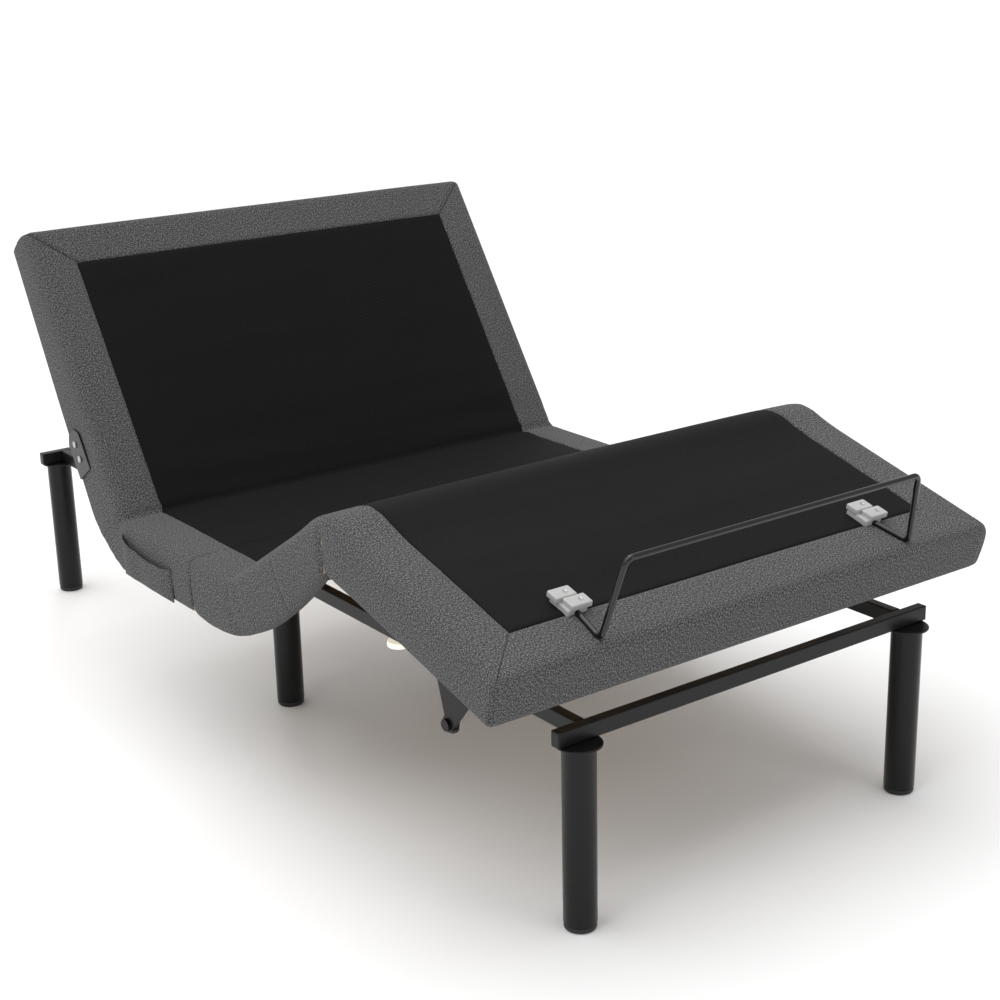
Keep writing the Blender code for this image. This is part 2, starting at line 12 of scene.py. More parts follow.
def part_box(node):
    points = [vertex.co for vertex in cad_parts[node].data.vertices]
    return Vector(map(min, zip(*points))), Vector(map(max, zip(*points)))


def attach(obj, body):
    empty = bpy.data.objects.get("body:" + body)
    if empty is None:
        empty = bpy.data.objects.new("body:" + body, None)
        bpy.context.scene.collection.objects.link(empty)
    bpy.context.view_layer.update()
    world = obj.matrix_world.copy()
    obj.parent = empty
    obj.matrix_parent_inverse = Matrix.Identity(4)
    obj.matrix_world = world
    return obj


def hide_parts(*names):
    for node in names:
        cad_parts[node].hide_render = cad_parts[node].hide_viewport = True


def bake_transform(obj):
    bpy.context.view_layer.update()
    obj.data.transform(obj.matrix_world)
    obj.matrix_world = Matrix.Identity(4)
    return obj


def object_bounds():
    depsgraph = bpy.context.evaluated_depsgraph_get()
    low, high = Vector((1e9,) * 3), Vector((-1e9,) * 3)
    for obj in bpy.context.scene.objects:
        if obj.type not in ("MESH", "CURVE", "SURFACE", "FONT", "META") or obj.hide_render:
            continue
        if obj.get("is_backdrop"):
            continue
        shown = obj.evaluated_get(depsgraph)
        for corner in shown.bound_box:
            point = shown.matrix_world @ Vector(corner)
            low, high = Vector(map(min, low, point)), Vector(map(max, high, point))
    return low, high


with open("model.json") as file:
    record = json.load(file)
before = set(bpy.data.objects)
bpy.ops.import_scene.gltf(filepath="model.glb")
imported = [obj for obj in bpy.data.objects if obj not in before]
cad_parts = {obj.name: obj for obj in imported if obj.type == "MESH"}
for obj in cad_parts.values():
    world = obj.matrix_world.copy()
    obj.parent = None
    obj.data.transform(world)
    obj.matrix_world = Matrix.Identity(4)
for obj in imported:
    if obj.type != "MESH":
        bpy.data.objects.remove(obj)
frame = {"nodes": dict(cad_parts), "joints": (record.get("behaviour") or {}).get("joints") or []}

cad_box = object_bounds()

# ---- camera, floor and lights ----
# A studio view from the foot end's left side, with a pale seamless floor and large soft lamps
# overhead. None of this belongs to the bed base.
camera = bpy.data.objects.new("camera", bpy.data.cameras.new("camera"))
bpy.context.scene.collection.objects.link(camera)
across = Vector((0.802842, -0.595809, -0.021359))
upward = Vector((0.200262, 0.235760, 0.950954))
forward = Vector((0.561551, 0.767743, -0.308596))
stand = Vector((-1.770083, -2.669624, 1.394474))
camera.matrix_world = Matrix(((*across,), (*upward,), (*-forward,))).transposed().to_4x4()
camera.matrix_world.translation = stand
camera.data.sensor_width = 36.0
camera.data.lens = 64.164
camera.data.clip_end = 300.0
bpy.context.scene.camera = camera
bpy.context.scene.view_settings.view_transform = "Standard"


def link(obj):
    bpy.context.scene.collection.objects.link(obj)
    return obj


class Value:
    """A shader socket that takes part in plain arithmetic; each operator adds one Math node."""

    def __init__(self, finish, socket):
        self.finish = finish
        self.socket = socket

    def maths(self, operation, *terms):
        return self.finish.node("ShaderNodeMath", {"operation": operation}, terms)

    def __add__(self, other):
        return self.maths("ADD", self, other)

    def __radd__(self, other):
        return self.maths("ADD", other, self)

    def __sub__(self, other):
        return self.maths("SUBTRACT", self, other)

    def __rsub__(self, other):
        return self.maths("SUBTRACT", other, self)

    def __mul__(self, other):
        return self.maths("MULTIPLY", self, other)

    def __rmul__(self, other):
        return self.maths("MULTIPLY", other, self)

    def sine(self):
        return self.maths("SINE", self)

    def above(self, edge, softness):
        """0 below edge, 1 above it, with a soft step between."""
        settings = {"interpolation_type": "SMOOTHSTEP"}
        terms = {0: self, 1: edge - softness, 2: edge + softness}
        return self.finish.node("ShaderNodeMapRange", settings, terms)


class Finish:
    """A material and the nodes behind its Principled shader."""

    def __init__(self, name, **plain):
        self.material = bpy.data.materials.new(name)
        self.material.use_nodes = True
        self.tree = self.material.node_tree
        self.shader = self.tree.nodes["Principled BSDF"]
        for socket, number in plain.items():
            self.shader.inputs[socket.replace("_", " ")].default_value = number

    def node(self, kind, settings=None, values=(), output=0):
        made = self.tree.nodes.new(kind)
        for key, setting in (settings or {}).items():
            setattr(made, key, setting)
        pairs = values.items() if isinstance(values, dict) else enumerate(values)
        for key, value in pairs:
            if isinstance(value, Value):
                self.tree.links.new(value.socket, made.inputs[key])
            else:
                made.inputs[key].default_value = value
        return Value(self, made.outputs[output])

    def blend(self, mask, first, second):
        """first where the mask is 0, second where it is 1."""
        terms = {0: mask}
        for key, shade in ((6, first), (7, second)):
            terms[key] = shade if isinstance(shade, Value) else (*shade, 1.0)
        return self.node("ShaderNodeMix", {"data_type": "RGBA"}, terms, 2)

    def stretched(self, place, scale):
        return self.node("ShaderNodeVectorMath", {"operation": "MULTIPLY"}, {0: place, 1: scale})

    def grain(self, place, scale, detail=2.0, rough=0.55):
        values = {"Vector": place, "Scale": scale, "Detail": detail, "Roughness": rough}
        return self.node("ShaderNodeTexNoise", None, values)

    def parts(self, place):
        return [self.node("ShaderNodeSeparateXYZ", None, [place], axis) for axis in range(3)]

    def bump(self, height, distance, strength=1.0):
        values = {"Height": height, "Distance": distance, "Strength": strength}
        return self.node("ShaderNodeBump", None, values)

    def feed(self, **sockets):
        for name, value in sockets.items():
            self.tree.links.new(value.socket, self.shader.inputs[name.replace("_", " ")])
        return self.material


floor_finish = Finish("studio_floor", Roughness=0.75)
floor_place = floor_finish.node("ShaderNodeTexCoord", None, (), 3)
floor_mottle = floor_finish.grain(floor_place, 3.0)
floor_shade = floor_finish.blend(floor_mottle, (0.95, 0.95, 0.95), (0.97, 0.97, 0.97))
floor_paint = floor_finish.feed(Base_Color=floor_shade)
floor_half = 90
floor_corners = [(floor_half * x, floor_half * y, 0) for x, y in ((-1, -1), (1, -1), (1, 1), (-1, 1))]
floor_mesh = bpy.data.meshes.new("studio_floor")
floor_mesh.from_pydata(floor_corners, [], [(0, 1, 2, 3)])
floor_mesh.materials.append(floor_paint)
floor = link(bpy.data.objects.new("studio_floor", floor_mesh))
floor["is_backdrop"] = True

lamp_rows = (
    ("lamp_top", (0.2, 0.0, 3.4), (0, 0, 0.3), 3.0, 12),
    ("lamp_left", (-3.2, -1.2, 2.3), (0, 0, 0.4), 1.2, 9),
    ("lamp_foot", (0.8, -3.6, 1.9), (0, 0, 0.4), 1.2, 7),
    ("lamp_back", (1.2, 3.4, 2.6), (0, 0, 0.4), 0.8, 12),
)
for name, at, aim, size, power in lamp_rows:
    lamp = bpy.data.lights.new(name, "AREA")
    lamp.shape = "SQUARE"
    lamp.size = size
    lamp.energy = power
    holder = link(bpy.data.objects.new(name, lamp))
    holder.location = at
    holder.rotation_euler = (Vector(aim) - Vector(at)).to_track_quat("-Z", "Y").to_euler()

ceiling = bpy.data.lights.new("soft_ceiling", "SUN")
ceiling.energy = 1.7
ceiling.angle = math.radians(75)
holder = link(bpy.data.objects.new("soft_ceiling", ceiling))
holder.rotation_euler = (math.radians(-14), math.radians(-12), 0)

# the air lights the object at less than the white that shows behind it
air_light, backdrop_white = 0.60, 1.0
world = bpy.data.worlds.new("studio_air")
bpy.context.scene.world = world
world.use_nodes = True
air_nodes, air_links = world.node_tree.nodes, world.node_tree.links
air = air_nodes["Background"]
air.inputs["Color"].default_value = (1, 1, 1, 1)
ray_kind = air_nodes.new("ShaderNodeLightPath")
strength = air_nodes.new("ShaderNodeMapRange")
strength.inputs["To Min"].default_value = air_light
strength.inputs["To Max"].default_value = backdrop_white
air_links.new(ray_kind.outputs["Is Camera Ray"], strength.inputs["Value"])
air_links.new(strength.outputs[0], air.inputs["Strength"])

# ---- shape of the deck ----
# Four foam-padded boards hinged in a row and upholstered as one. Each piece of cover is laid out
# in flat cloth coordinates, then carried onto the raised deck by its upper and lower edge lines.
hinge = {joint["name"]: Vector(joint["pos_m"]) for joint in frame["joints"] if "pos_m" in joint}
limits = {joint["name"]: joint.get("range_deg") for joint in frame["joints"]}
back_hinge = hinge["back_lift"]
thigh_hinge = hinge["thigh_lift"]
knee_hinge = hinge["knee_fold"]
back_tilt = math.radians(-limits["back_lift"][0])
thigh_tilt = math.atan2(knee_hinge.z - thigh_hinge.z, thigh_hinge.y - knee_hinge.y)
calf_tilt = math.radians(15.2)
foam_top = 0.0254
cover_x = 0.5018
board_ease = 0.003
skirt_end = -0.0556


def on_section(axis, tilt, along, height):
    """(y, z) of a point given by its distance along a section and its height over the hinge plane."""
    y = axis.y + along * math.cos(tilt) - height * math.sin(tilt)
    return y, axis.z + along * math.sin(tilt) + height * math.cos(tilt)


def reach(node, axis, tilt, way):
    """How far a board runs from its hinge axis along its section."""
    way_out = Vector((0, math.cos(tilt), math.sin(tilt))) * way
    return max((v.co - axis).dot(way_out) for v in frame["nodes"][node].data.vertices)


back_reach = reach("back_board", back_hinge, back_tilt, 1) + board_ease
calf_reach = reach("calf_board", knee_hinge, calf_tilt, -1) + board_ease
thigh_reach = (knee_hinge - thigh_hinge).length
u_back = back_hinge.y
u_thigh = thigh_hinge.y
u_knee = u_thigh - thigh_reach
u_foot = u_knee - calf_reach
u_head = u_back + back_reach
u_seat_seam = -0.030
u_mid_thigh = (u_thigh + u_knee) / 2


def edge_line(corners):
    """A function from a flat station to (y, z) along straight runs joined by rounded corners."""
    us = np.array([c[0] for c in corners])
    ys = np.array([c[1] for c in corners])
    zs = np.array([c[2] for c in corners])

    def straight(u):
        k = int(np.clip(np.searchsorted(us, u) - 1, 0, len(us) - 2))
        t = (u - us[k]) / (us[k + 1] - us[k])
        return np.array((ys[k] + t * (ys[k + 1] - ys[k]), zs[k] + t * (zs[k + 1] - zs[k])))

    def line(u):
        for (at, y, z, half) in corners[1:-1]:
            if abs(u - at) < half:
                t = (u - at + half) / (2 * half)
                first, last = straight(at - half), straight(at + half)
                return (1 - t) ** 2 * first + 2 * t * (1 - t) * np.array((y, z)) + t * t * last
        return straight(u)

    return line


# each corner is (flat station, y, z, half the length of its rounding)
valley = math.tan(thigh_tilt / 2) * foam_top
crest = math.tan((thigh_tilt + calf_tilt) / 2) * foam_top
fold = math.tan(back_tilt / 2) * foam_top
top_line = edge_line((
    (u_foot, *on_section(knee_hinge, calf_tilt, -calf_reach, foam_top), 0.0),
    (u_knee - 0.075, *on_section(knee_hinge, calf_tilt, -0.078, foam_top + 0.002), 0.030),
    (u_knee, *on_section(knee_hinge, calf_tilt, crest + 0.002, foam_top + 0.013), 0.044),
    (u_knee + 0.075, *on_section(thigh_hinge, -thigh_tilt, 0.078 - thigh_reach, foam_top + 0.002), 0.030),
    (u_thigh, *on_section(thigh_hinge, 0, valley, foam_top), 0.026),
    (u_back, *on_section(back_hinge, 0, -fold, foam_top), 0.012),
    (u_head, *on_section(back_hinge, back_tilt, back_reach, foam_top), 0.0),
))
skirt_foot = on_section(knee_hinge, calf_tilt, -calf_reach, skirt_end)
low_line_rear = edge_line((
    (u_seat_seam, u_seat_seam, 0.2675, 0.0),
    (u_seat_seam + 0.06, 0.040, 0.2672, 0.020),
    (u_back - 0.02, 0.2662, 0.2655, 0.018),
    (u_back + 0.05, *on_section(back_hinge, back_tilt, 0.05, -0.1025), 0.025),
    (u_back + 0.2365, *on_section(back_hinge, back_tilt, 0.2365, -0.0900), 0.10),
    (u_head, *on_section(back_hinge, back_tilt, back_reach, skirt_end), 0.0),
))
low_line_front = edge_line((
    (u_foot, *skirt_foot, 0.0),
    (u_knee - 0.10, *on_section(knee_hinge, calf_tilt, -0.10, -0.0600), 0.05),
    (u_knee, -0.4815, 0.4665, 0.012),
    (u_knee + 0.060, -0.4560, 0.4400, 0.022),
    (u_knee + 0.135, -0.4119, 0.4016, 0.030),
    (u_knee + 0.190, -0.3684, 0.3684, 0.025),
    (u_knee + 0.265, -0.3064, 0.3253, 0.030),
    (u_thigh - 0.045, -0.2574, 0.2994, 0.030),
    (u_thigh + 0.020, -0.1800, 0.2660, 0.040),
    (-0.070, -0.0859, 0.2600, 0.018),
    (u_seat_seam + 0.0006, -0.0340, 0.2664, 0.0),
))
foam_round = 0.013
board_round = 0.0075
crown = 0.0035
loose_ripple = 0.0042
tight_ripple = 0.0016
back_fold = 0.0065
thigh_fold = 0.0030
pucker_depth = 0.0042
side_swell = 0.0040
knee_pleat = 0.0075
back_pleat = 0.0045
thigh_pleat = 0.0040


def crease(distance, width):
    """1 on a line and fading to 0 within about twice the width of it."""
    return math.exp(-((distance / width) ** 2))


def smooth_step(t):
    t = min(max(t, 0.0), 1.0)
    return t * t * (3 - 2 * t)


def deck_point(x, u, d, low_line):
    """A point of the cover's outer face: x across, u the flat station, d the depth below the top."""
    edge_round = foam_round + (board_round - foam_round) * smooth_step((d - 0.006) / 0.018)
    station = min(max(u, u_foot + edge_round), u_head - edge_round)
    top = top_line(min(max(u, u_foot), u_head))
    low = low_line(min(max(u, u_foot), u_head))
    deep = float(np.hypot(*(low - top)))
    side = 1 if x > 0 else -1
    core_x = min(abs(x), cover_x - edge_round)
    core_d = min(max(d, edge_round), deep - edge_round)
    out = np.array((abs(x) - core_x, u - station, d - core_d))
    size = float(np.linalg.norm(out))
    px, pu, pd = abs(x), u, d
    if size > edge_round:
        px, pu, pd = np.array((core_x, station, core_d)) + out / size * edge_round
    top = top_line(pu)
    low = low_line(pu)
    way = (low - top) / float(np.hypot(*(low - top)))
    inward = 0.0
    if abs(x) < cover_x and d <= 0:
        spread = 1 - (abs(x) / cover_x) ** 6
        pd -= crown * spread
        near = crease(u - u_back, 0.16) * smooth_step((u - u_back) / 0.03)
        ripple = noise.noise(Vector((x * 2.2, (u + 0.05 * x) * 17, 3.1)))
        pd -= loose_ripple * ripple * near * spread
        ripple = noise.noise(Vector((x * 3.0, u * 21, 8.7)))
        pd -= tight_ripple * ripple * spread
        bow = 0.004 * noise.noise(Vector((x * 7, 5.0, 2.0)))
        pd += back_fold * crease(u - u_back - bow, 0.0060)
        pd += thigh_fold * crease(u - u_thigh - bow, 0.0100)
    if abs(x) > cover_x - 0.09:
        pucker = crease(u - u_back, 0.045) + 0.9 * crease(u - u_thigh, 0.05)
        pucker += 0.8 * crease(u - u_knee, 0.035)
        wave = noise.noise(Vector((u * 60, d * 16 + side * 4, x * 9)))
        inward += pucker_depth * pucker * wave
    if abs(x) >= cover_x:
        across_face = math.sin(math.pi * min(max(d / deep, 0), 1))
        plate = crease(u - u_back - 0.182, 0.060) if side < 0 else 0.0
        inward -= side_swell * across_face * (1 - plate)
        pleat = crease(u - u_knee - 0.004 + 0.10 * (d - 0.05), 0.0065)
        inward += knee_pleat * pleat * smooth_step((d - 0.012) / 0.03)
        pleat = crease(u - u_back + 0.35 * (d - 0.03), 0.006)
        inward += back_pleat * pleat * smooth_step((0.06 - d) / 0.05)
        pleat = crease(u - u_thigh - 0.3 * (d - 0.02), 0.006)
        inward += thigh_pleat * pleat * smooth_step((0.05 - d) / 0.04)
    y, z = top + way * pd
    return Vector((side * (px - inward), y, z))


# ---- cover cloth: grey heather and black non-slip ----
# Grey flecked polyester linen-weave wraps the borders and sides. The sleeping surface is a black
# mesh-backed cloth with fine raised dots in diagonal rows that stop a mattress from sliding.
thread_pitch = 0.0021
grey = Finish("heather_cover", Sheen_Weight=0.06, Sheen_Roughness=0.5, Specular_IOR_Level=0.10)
place = grey.node("ShaderNodeAttribute", {"attribute_name": "cloth"}, (), 1)
warp = grey.grain(grey.stretched(place, (280, 680, 280)), 1.0, 2.0, 0.5)
weft = grey.grain(grey.stretched(place, (680, 280, 280)), 1.0, 2.0, 0.5)
fleck = grey.grain(grey.stretched(place, (400, 400, 400)), 1.0, 1.0, 0.5)
broad = grey.grain(place, 7.0, 3.0)
turn = 2 * math.pi / thread_pitch
threads = grey.parts(grey.stretched(place, (turn, turn, 1)))
weave = threads[0].sine() * threads[1].sine()
mix = warp * 0.5 + weft * 0.5
light_mask = (mix * 0.6 + fleck * 0.4).above(0.5, 0.055)
shade = grey.blend(light_mask, (0.044, 0.044, 0.045), (0.134, 0.134, 0.136))
shade = grey.blend(fleck.above(0.64, 0.05), shade, (0.22, 0.22, 0.22))
shade = grey.blend((1 - fleck).above(0.64, 0.05), shade, (0.024, 0.024, 0.025))
shade = grey.blend((broad - 0.35) * 0.18, shade, (0.030, 0.030, 0.032))
relief = grey.bump(mix * 0.7 + weave * 0.15 + fleck * 0.3, 0.0009, 0.5)
grey_cloth = grey.feed(Base_Color=shade, Normal=relief, Roughness=0.86 + 0.12 * mix)

dot_pitch = 0.0062
black = Finish("non_slip_cloth", Sheen_Weight=0.01, Specular_IOR_Level=0.08)
place = black.node("ShaderNodeAttribute", {"attribute_name": "cloth"}, (), 1)
px, py, _ = black.parts(place)
turn = 2 * math.pi / dot_pitch
dots = ((px + py) * turn).sine() * ((px - py) * turn).sine()
dot_mask = dots.above(0.35, 0.3)
fibre = black.grain(black.stretched(place, (900, 900, 1)), 1.0, 2.0)
broad = black.grain(place, 5.0, 3.0)
shade = black.blend(dot_mask, (0.0038, 0.0038, 0.0040), (0.0150, 0.0150, 0.0156))
shade = black.blend(fibre.above(0.60, 0.1) * 0.35, shade, (0.026, 0.026, 0.027))
shade = black.blend((broad - 0.4) * 0.5, shade, (0.004, 0.004, 0.004))
relief = black.bump(dot_mask * 0.8 + fibre * 0.4, 0.0009, 0.6)
black_cloth = black.feed(Base_Color=shade, Normal=relief, Roughness=0.70 - 0.16 * dot_mask)

# ---- cover panels ----
# Each panel is cut to its own outline and sewn to the next with its edges turned in, which leaves
# a fine valley along every seam. The corners are mitred, with the seam running down the edge.
border_side = 0.082
border_foot = 0.085
border_head = 0.080
inner_x = cover_x - border_side
cloth_thick = 0.0014
foam_thick = 0.0215
seam_sink = 0.0022
seam_width = 0.0026
core_height = 0.30
seam_steps = (0.0, 0.0012, 0.0028, 0.0052, 0.0090)


def steps(low, high, pitch, fine_low=True, fine_high=True):
    """Positions from low to high, close together at the seams."""
    inner = [low + s for s in seam_steps] if fine_low else [low]
    outer = [high - s for s in reversed(seam_steps)] if fine_high else [high]
    count = max(1, round((outer[0] - inner[-1]) / pitch))
    middle = [inner[-1] + (outer[0] - inner[-1]) * k / count for k in range(1, count)]
    return inner + middle + outer


def piece_of(bm, name, material):
    """Turns a finished bmesh into a piece with one material."""
    mesh = bpy.data.meshes.new(name)
    bm.to_mesh(mesh)
    bm.free()
    mesh.materials.append(material)
    return link(bpy.data.objects.new(name, mesh))


def panel(name, rows, columns, spot, tucks, material, thick, low_line):
    """A closed shell over a grid, sunk along the seam edges that tucks names.

    spot gives (x, u, d, cloth_x, cloth_y) for a row and a column.
    """
    grid = []
    cloth = []
    for row in rows:
        for column in columns:
            x, u, d, cx, cy = spot(row, column)
            grid.append(deck_point(x, u, d, low_line))
            cloth.append((cx, cy, 0.0))
    count_r, count_c = len(rows), len(columns)
    points = np.array(grid).reshape(count_r, count_c, 3)
    run = np.gradient(points, axis=0)
    cross = np.gradient(points, axis=1)
    normal = np.cross(run, cross)
    normal /= np.maximum(np.linalg.norm(normal, axis=2, keepdims=True), 1e-9)
    middle = points[count_r // 2, count_c // 2]
    from_core = middle - np.array((0, middle[1], core_height))
    if np.dot(normal[count_r // 2, count_c // 2], from_core) < 0:
        normal = -normal
    sink = np.zeros((count_r, count_c))
    for edge, is_row in tucks:
        lines = rows if is_row else columns
        base = lines[0] if edge == "low" else lines[-1]
        depth = np.array([seam_sink * math.exp(-(abs(p - base) / seam_width) ** 1.4) for p in lines])
        sink = np.maximum(sink, depth[:, None] if is_row else depth[None, :])
    outer = points - normal * sink[:, :, None]
    inner = outer - normal * thick
    bm = bmesh.new()
    store = bm.verts.layers.float_vector.new("cloth")
    layers = []
    for sheet in (outer, inner):
        flat = sheet.reshape(-1, 3)
        made = [bm.verts.new(p) for p in flat]
        for vert, spot_at in zip(made, cloth):
            vert[store] = spot_at
        layers.append(made)
    for side, made in enumerate(layers):
        for r in range(count_r - 1):
            for c in range(count_c - 1):
                a, b = r * count_c + c, (r + 1) * count_c + c
                quad = (made[a], made[b], made[b + 1], made[a + 1])
                bm.faces.new(quad if side == 0 else quad[::-1])
    ring = list(range(count_c))
    ring += [r * count_c + count_c - 1 for r in range(1, count_r)]
    ring += [(count_r - 1) * count_c + c for c in range(count_c - 2, -1, -1)]
    ring += [r * count_c for r in range(count_r - 2, 0, -1)]
    for k, a in enumerate(ring):
        b = ring[(k + 1) % len(ring)]
        bm.faces.new((layers[0][a], layers[0][b], layers[1][b], layers[1][a]))
    bmesh.ops.recalc_face_normals(bm, faces=bm.faces)
    for face in bm.faces:
        face.smooth = True
    return piece_of(bm, name, material)


def join(name, objects):
    """Joins panels of one cloth into one piece."""
    bm = bmesh.new()
    for obj in objects:
        bm.from_mesh(obj.data)
    material = objects[0].data.materials[0]
    for obj in objects:
        bpy.data.objects.remove(obj, do_unlink=True)
    return piece_of(bm, name, material)


def side_spot(side, low_line, foot_end, head_end):
    """Spot function of a side border: the column runs outwards, then down the side and under."""

    def spot(row, column):
        u = row
        if column < cover_x:
            slack = (cover_x - column) / border_side
            if foot_end and row < u_foot + mitre_run:
                share = 1 - (row - u_foot) / mitre_run
                u = row + share * slack * border_foot
            if head_end and row > u_head - mitre_run:
                share = 1 - (u_head - row) / mitre_run
                u = row - share * slack * border_head
            return side * column, u, 0.0, side * column, u
        deep = float(np.hypot(*(low_line(row) - top_line(row))))
        down = column - cover_x
        drop = side_drop[-1]
        if down <= drop:
            return side * cover_x, row, deep * down / drop, side * column, row
        return side * (cover_x - (down - drop)), row, deep, side * column, row

    return spot


side_drop = [0.098 * k / 12 for k in range(1, 13)]
lip_steps = (0.006, 0.012, 0.018)
under_lip = [side_drop[-1] + s for s in lip_steps]
mitre_run = 0.14
head_drop = 0.0430
surface_pitch = 0.0085
side_columns = steps(inner_x, cover_x, 0.008, True, False) + [cover_x + s for s in side_drop + under_lip]
top_columns = steps(-inner_x, inner_x, 0.0095)
spans = (
    ("rear", u_seat_seam, u_head, low_line_rear, ("frame", "back")),
    ("middle", u_mid_thigh, u_seat_seam, low_line_front, ("frame", "thigh")),
    ("foot", u_foot, u_mid_thigh, low_line_front, ("thigh", "calf")),
)


def bend_line(axis, tilt, first, last):
    """The (y, z) ends of the stretch over which a cover piece turns with a hinge."""
    return on_section(axis, tilt, first, 0), on_section(axis, tilt, last, 0)


bend_spans = {
    "rear": bend_line(back_hinge, back_tilt / 2, -0.034, 0.034),
    "middle": bend_line(thigh_hinge, -thigh_tilt / 2, 0.040, -0.040),
    "foot": bend_line(knee_hinge, (calf_tilt - thigh_tilt) / 2, 0.032, -0.032),
}
stands_for = {
    "rear": ("back_pad",),
    "middle": ("seat_pad", "thigh_pad"),
    "foot": ("calf_pad",),
}


def bend(obj, span, pair):
    """Bakes a cover piece's placement into its mesh."""
    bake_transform(obj)


for span, low_u, high_u, low_line, pair in spans:
    at_foot = span == "foot"
    at_head = span == "rear"
    # the black sleeping surface, with its foam under it
    first = low_u + (border_foot if at_foot else 0.0)
    last = high_u - (border_head if at_head else 0.0)
    rows = steps(first, last, surface_pitch, at_foot, at_head)

    def top_spot(row, column):
        return column, row, 0.0, column, row

    tucks = [("low", False), ("high", False)]
    tucks += [("low", True)] if at_foot else []
    tucks += [("high", True)] if at_head else []
    top = panel("top_" + span, rows, top_columns, top_spot, tucks, black_cloth, foam_thick, low_line)
    bend(top, span, pair)
    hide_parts(*stands_for[span])

    # the grey border on both sides, down the sides and under the board
    rows = steps(low_u, high_u, surface_pitch, at_foot or at_head, at_head or span == "middle")
    pieces = []
    for side in (-1, 1):
        tucks = [("low", False)]
        if not at_foot:
            tucks += [("low" if at_head else "high", True)]
        tucks += [("high", True)] if at_head else []
        tucks += [("low", True)] if at_foot else []
        spot = side_spot(side, low_line, at_foot, at_head)
        pieces.append(panel("side", rows, side_columns, spot, tucks, grey_cloth, cloth_thick, low_line))

    # the end border, with mitred corners
    if at_foot or at_head:
        width = border_foot if at_foot else border_head
        end_u = u_foot if at_foot else u_head
        way = 1 if at_foot else -1
        deep = float(np.hypot(*(low_line(end_u) - top_line(end_u))))
        drop = deep if at_foot else head_drop
        end_rows = steps(0.0, width, 0.008, True, False)
        end_rows += [width + drop * k / 9 for k in range(1, 10)]
        end_rows += [width + drop + s for s in lip_steps]
        shares = [k / 60 for k in range(61)]

        def end_spot(row, column):
            half = inner_x + (cover_x - inner_x) * min(row / width, 1.0)
            x = (2 * column - 1) * half
            if row <= width:
                return x, end_u + way * (width - row), 0.0, x, end_u + way * (width - row)
            down = min(row - width, drop)
            under = max(row - width - drop, 0.0)
            return x, end_u + way * under, down, x, end_u - way * (row - width)

        pieces.append(
            panel("end", end_rows, shares, end_spot, [("low", True)], grey_cloth, cloth_thick, low_line)
        )
    border = join("border_" + span, pieces)
    bend(border, span, pair)

# ---- remote pocket ----
# A flat pouch of the border cloth sewn to the left side of the seat, open at the top under a
# turned and stitched hem. It hangs a finger's width proud of the side.
pocket_low, pocket_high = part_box("remote_pocket")
pouch_y = (pocket_low.y - 0.004, pocket_high.y)
pouch_low = pocket_low.z + 0.001
pouch_proud = 0.0125
pouch_stand_off = 0.0035
pouch_rows, pouch_columns = 19, 45
bm = bmesh.new()
store = bm.verts.layers.float_vector.new("cloth")
grid = []
for row in range(pouch_rows):
    line = []
    for column in range(pouch_columns):
        s, t = column / (pouch_columns - 1), row / (pouch_rows - 1)
        y = pouch_y[0] + s * (pouch_y[1] - pouch_y[0])
        top = pocket_high.z - 0.004 + 0.016 * s ** 3 - 0.004 * math.sin(math.pi * s)
        z = pouch_low + t * (top - pouch_low)
        belly = min(1, 7 * s, 7 * (1 - s)) ** 0.6 * min(1, 5 * t) ** 0.6
        wave = 0.0016 * noise.noise(Vector((y * 30, z * 26, 1.0)))
        hem = 0.0012 * smooth_step((t - 0.86) / 0.03)
        x = -cover_x - pouch_stand_off - (pouch_proud - pouch_stand_off) * belly - wave * belly - hem
        vert = bm.verts.new((x, y, z))
        vert[store] = (y, z, 0)
        line.append(vert)
    grid.append(line)
for low, high in zip(grid, grid[1:]):
    for k in range(pouch_columns - 1):
        bm.faces.new((low[k], low[k + 1], high[k + 1], high[k])).smooth = True
pouch_area = sum(face.calc_area() for face in bm.faces)
pouch = piece_of(bm, "pocket_pouch", grey_cloth)
wall = pouch.modifiers.new("cloth_thickness", "SOLIDIFY")
wall.thickness = 0.0018
wall.offset = 0
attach(pouch, "frame")
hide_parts("remote_pocket")


def skin(bm, rings):
    """Closes rings of points into one smooth-sided skin with flat ends."""
    count = len(rings[0])
    for low, high in zip(rings, rings[1:]):
        for k in range(count):
            after = (k + 1) % count
            bm.faces.new((low[k], low[after], high[after], high[k])).smooth = True
    bm.faces.new(rings[0][::-1])
    bm.faces.new(rings[-1])
    bmesh.ops.recalc_face_normals(bm, faces=bm.faces)


def tube(name, points, radius, material, sides, bend):
    """A round bar along a line, its corners rounded to a bend radius."""
    path = []
    last = len(points) - 1
    for k, point in enumerate(points):
        point = Vector(point)
        if k in (0, last):
            path.append(point)
            continue
        before = Vector(points[k - 1]) - point
        after = Vector(points[k + 1]) - point
        cut = min(bend, before.length * 0.48, after.length * 0.48)
        first, end = point + before.normalized() * cut, point + after.normalized() * cut
        for step in range(9):
            t = step / 8
            path.append((1 - t) ** 2 * first + 2 * t * (1 - t) * point + t * t * end)
    bm = bmesh.new()
    rings = []
    side_way = None
    for k, point in enumerate(path):
        run = (path[min(k + 1, len(path) - 1)] - path[max(k - 1, 0)]).normalized()
        if side_way is None:
            side_way = run.orthogonal().normalized()
        side_way = (side_way - run * side_way.dot(run)).normalized()
        other = run.cross(side_way)
        ring = []
        for j in range(sides):
            angle = 2 * math.pi * j / sides
            out = math.cos(angle) * side_way + math.sin(angle) * other
            ring.append(bm.verts.new(point + radius * out))
        rings.append(ring)
    skin(bm, rings)
    return piece_of(bm, name, material)


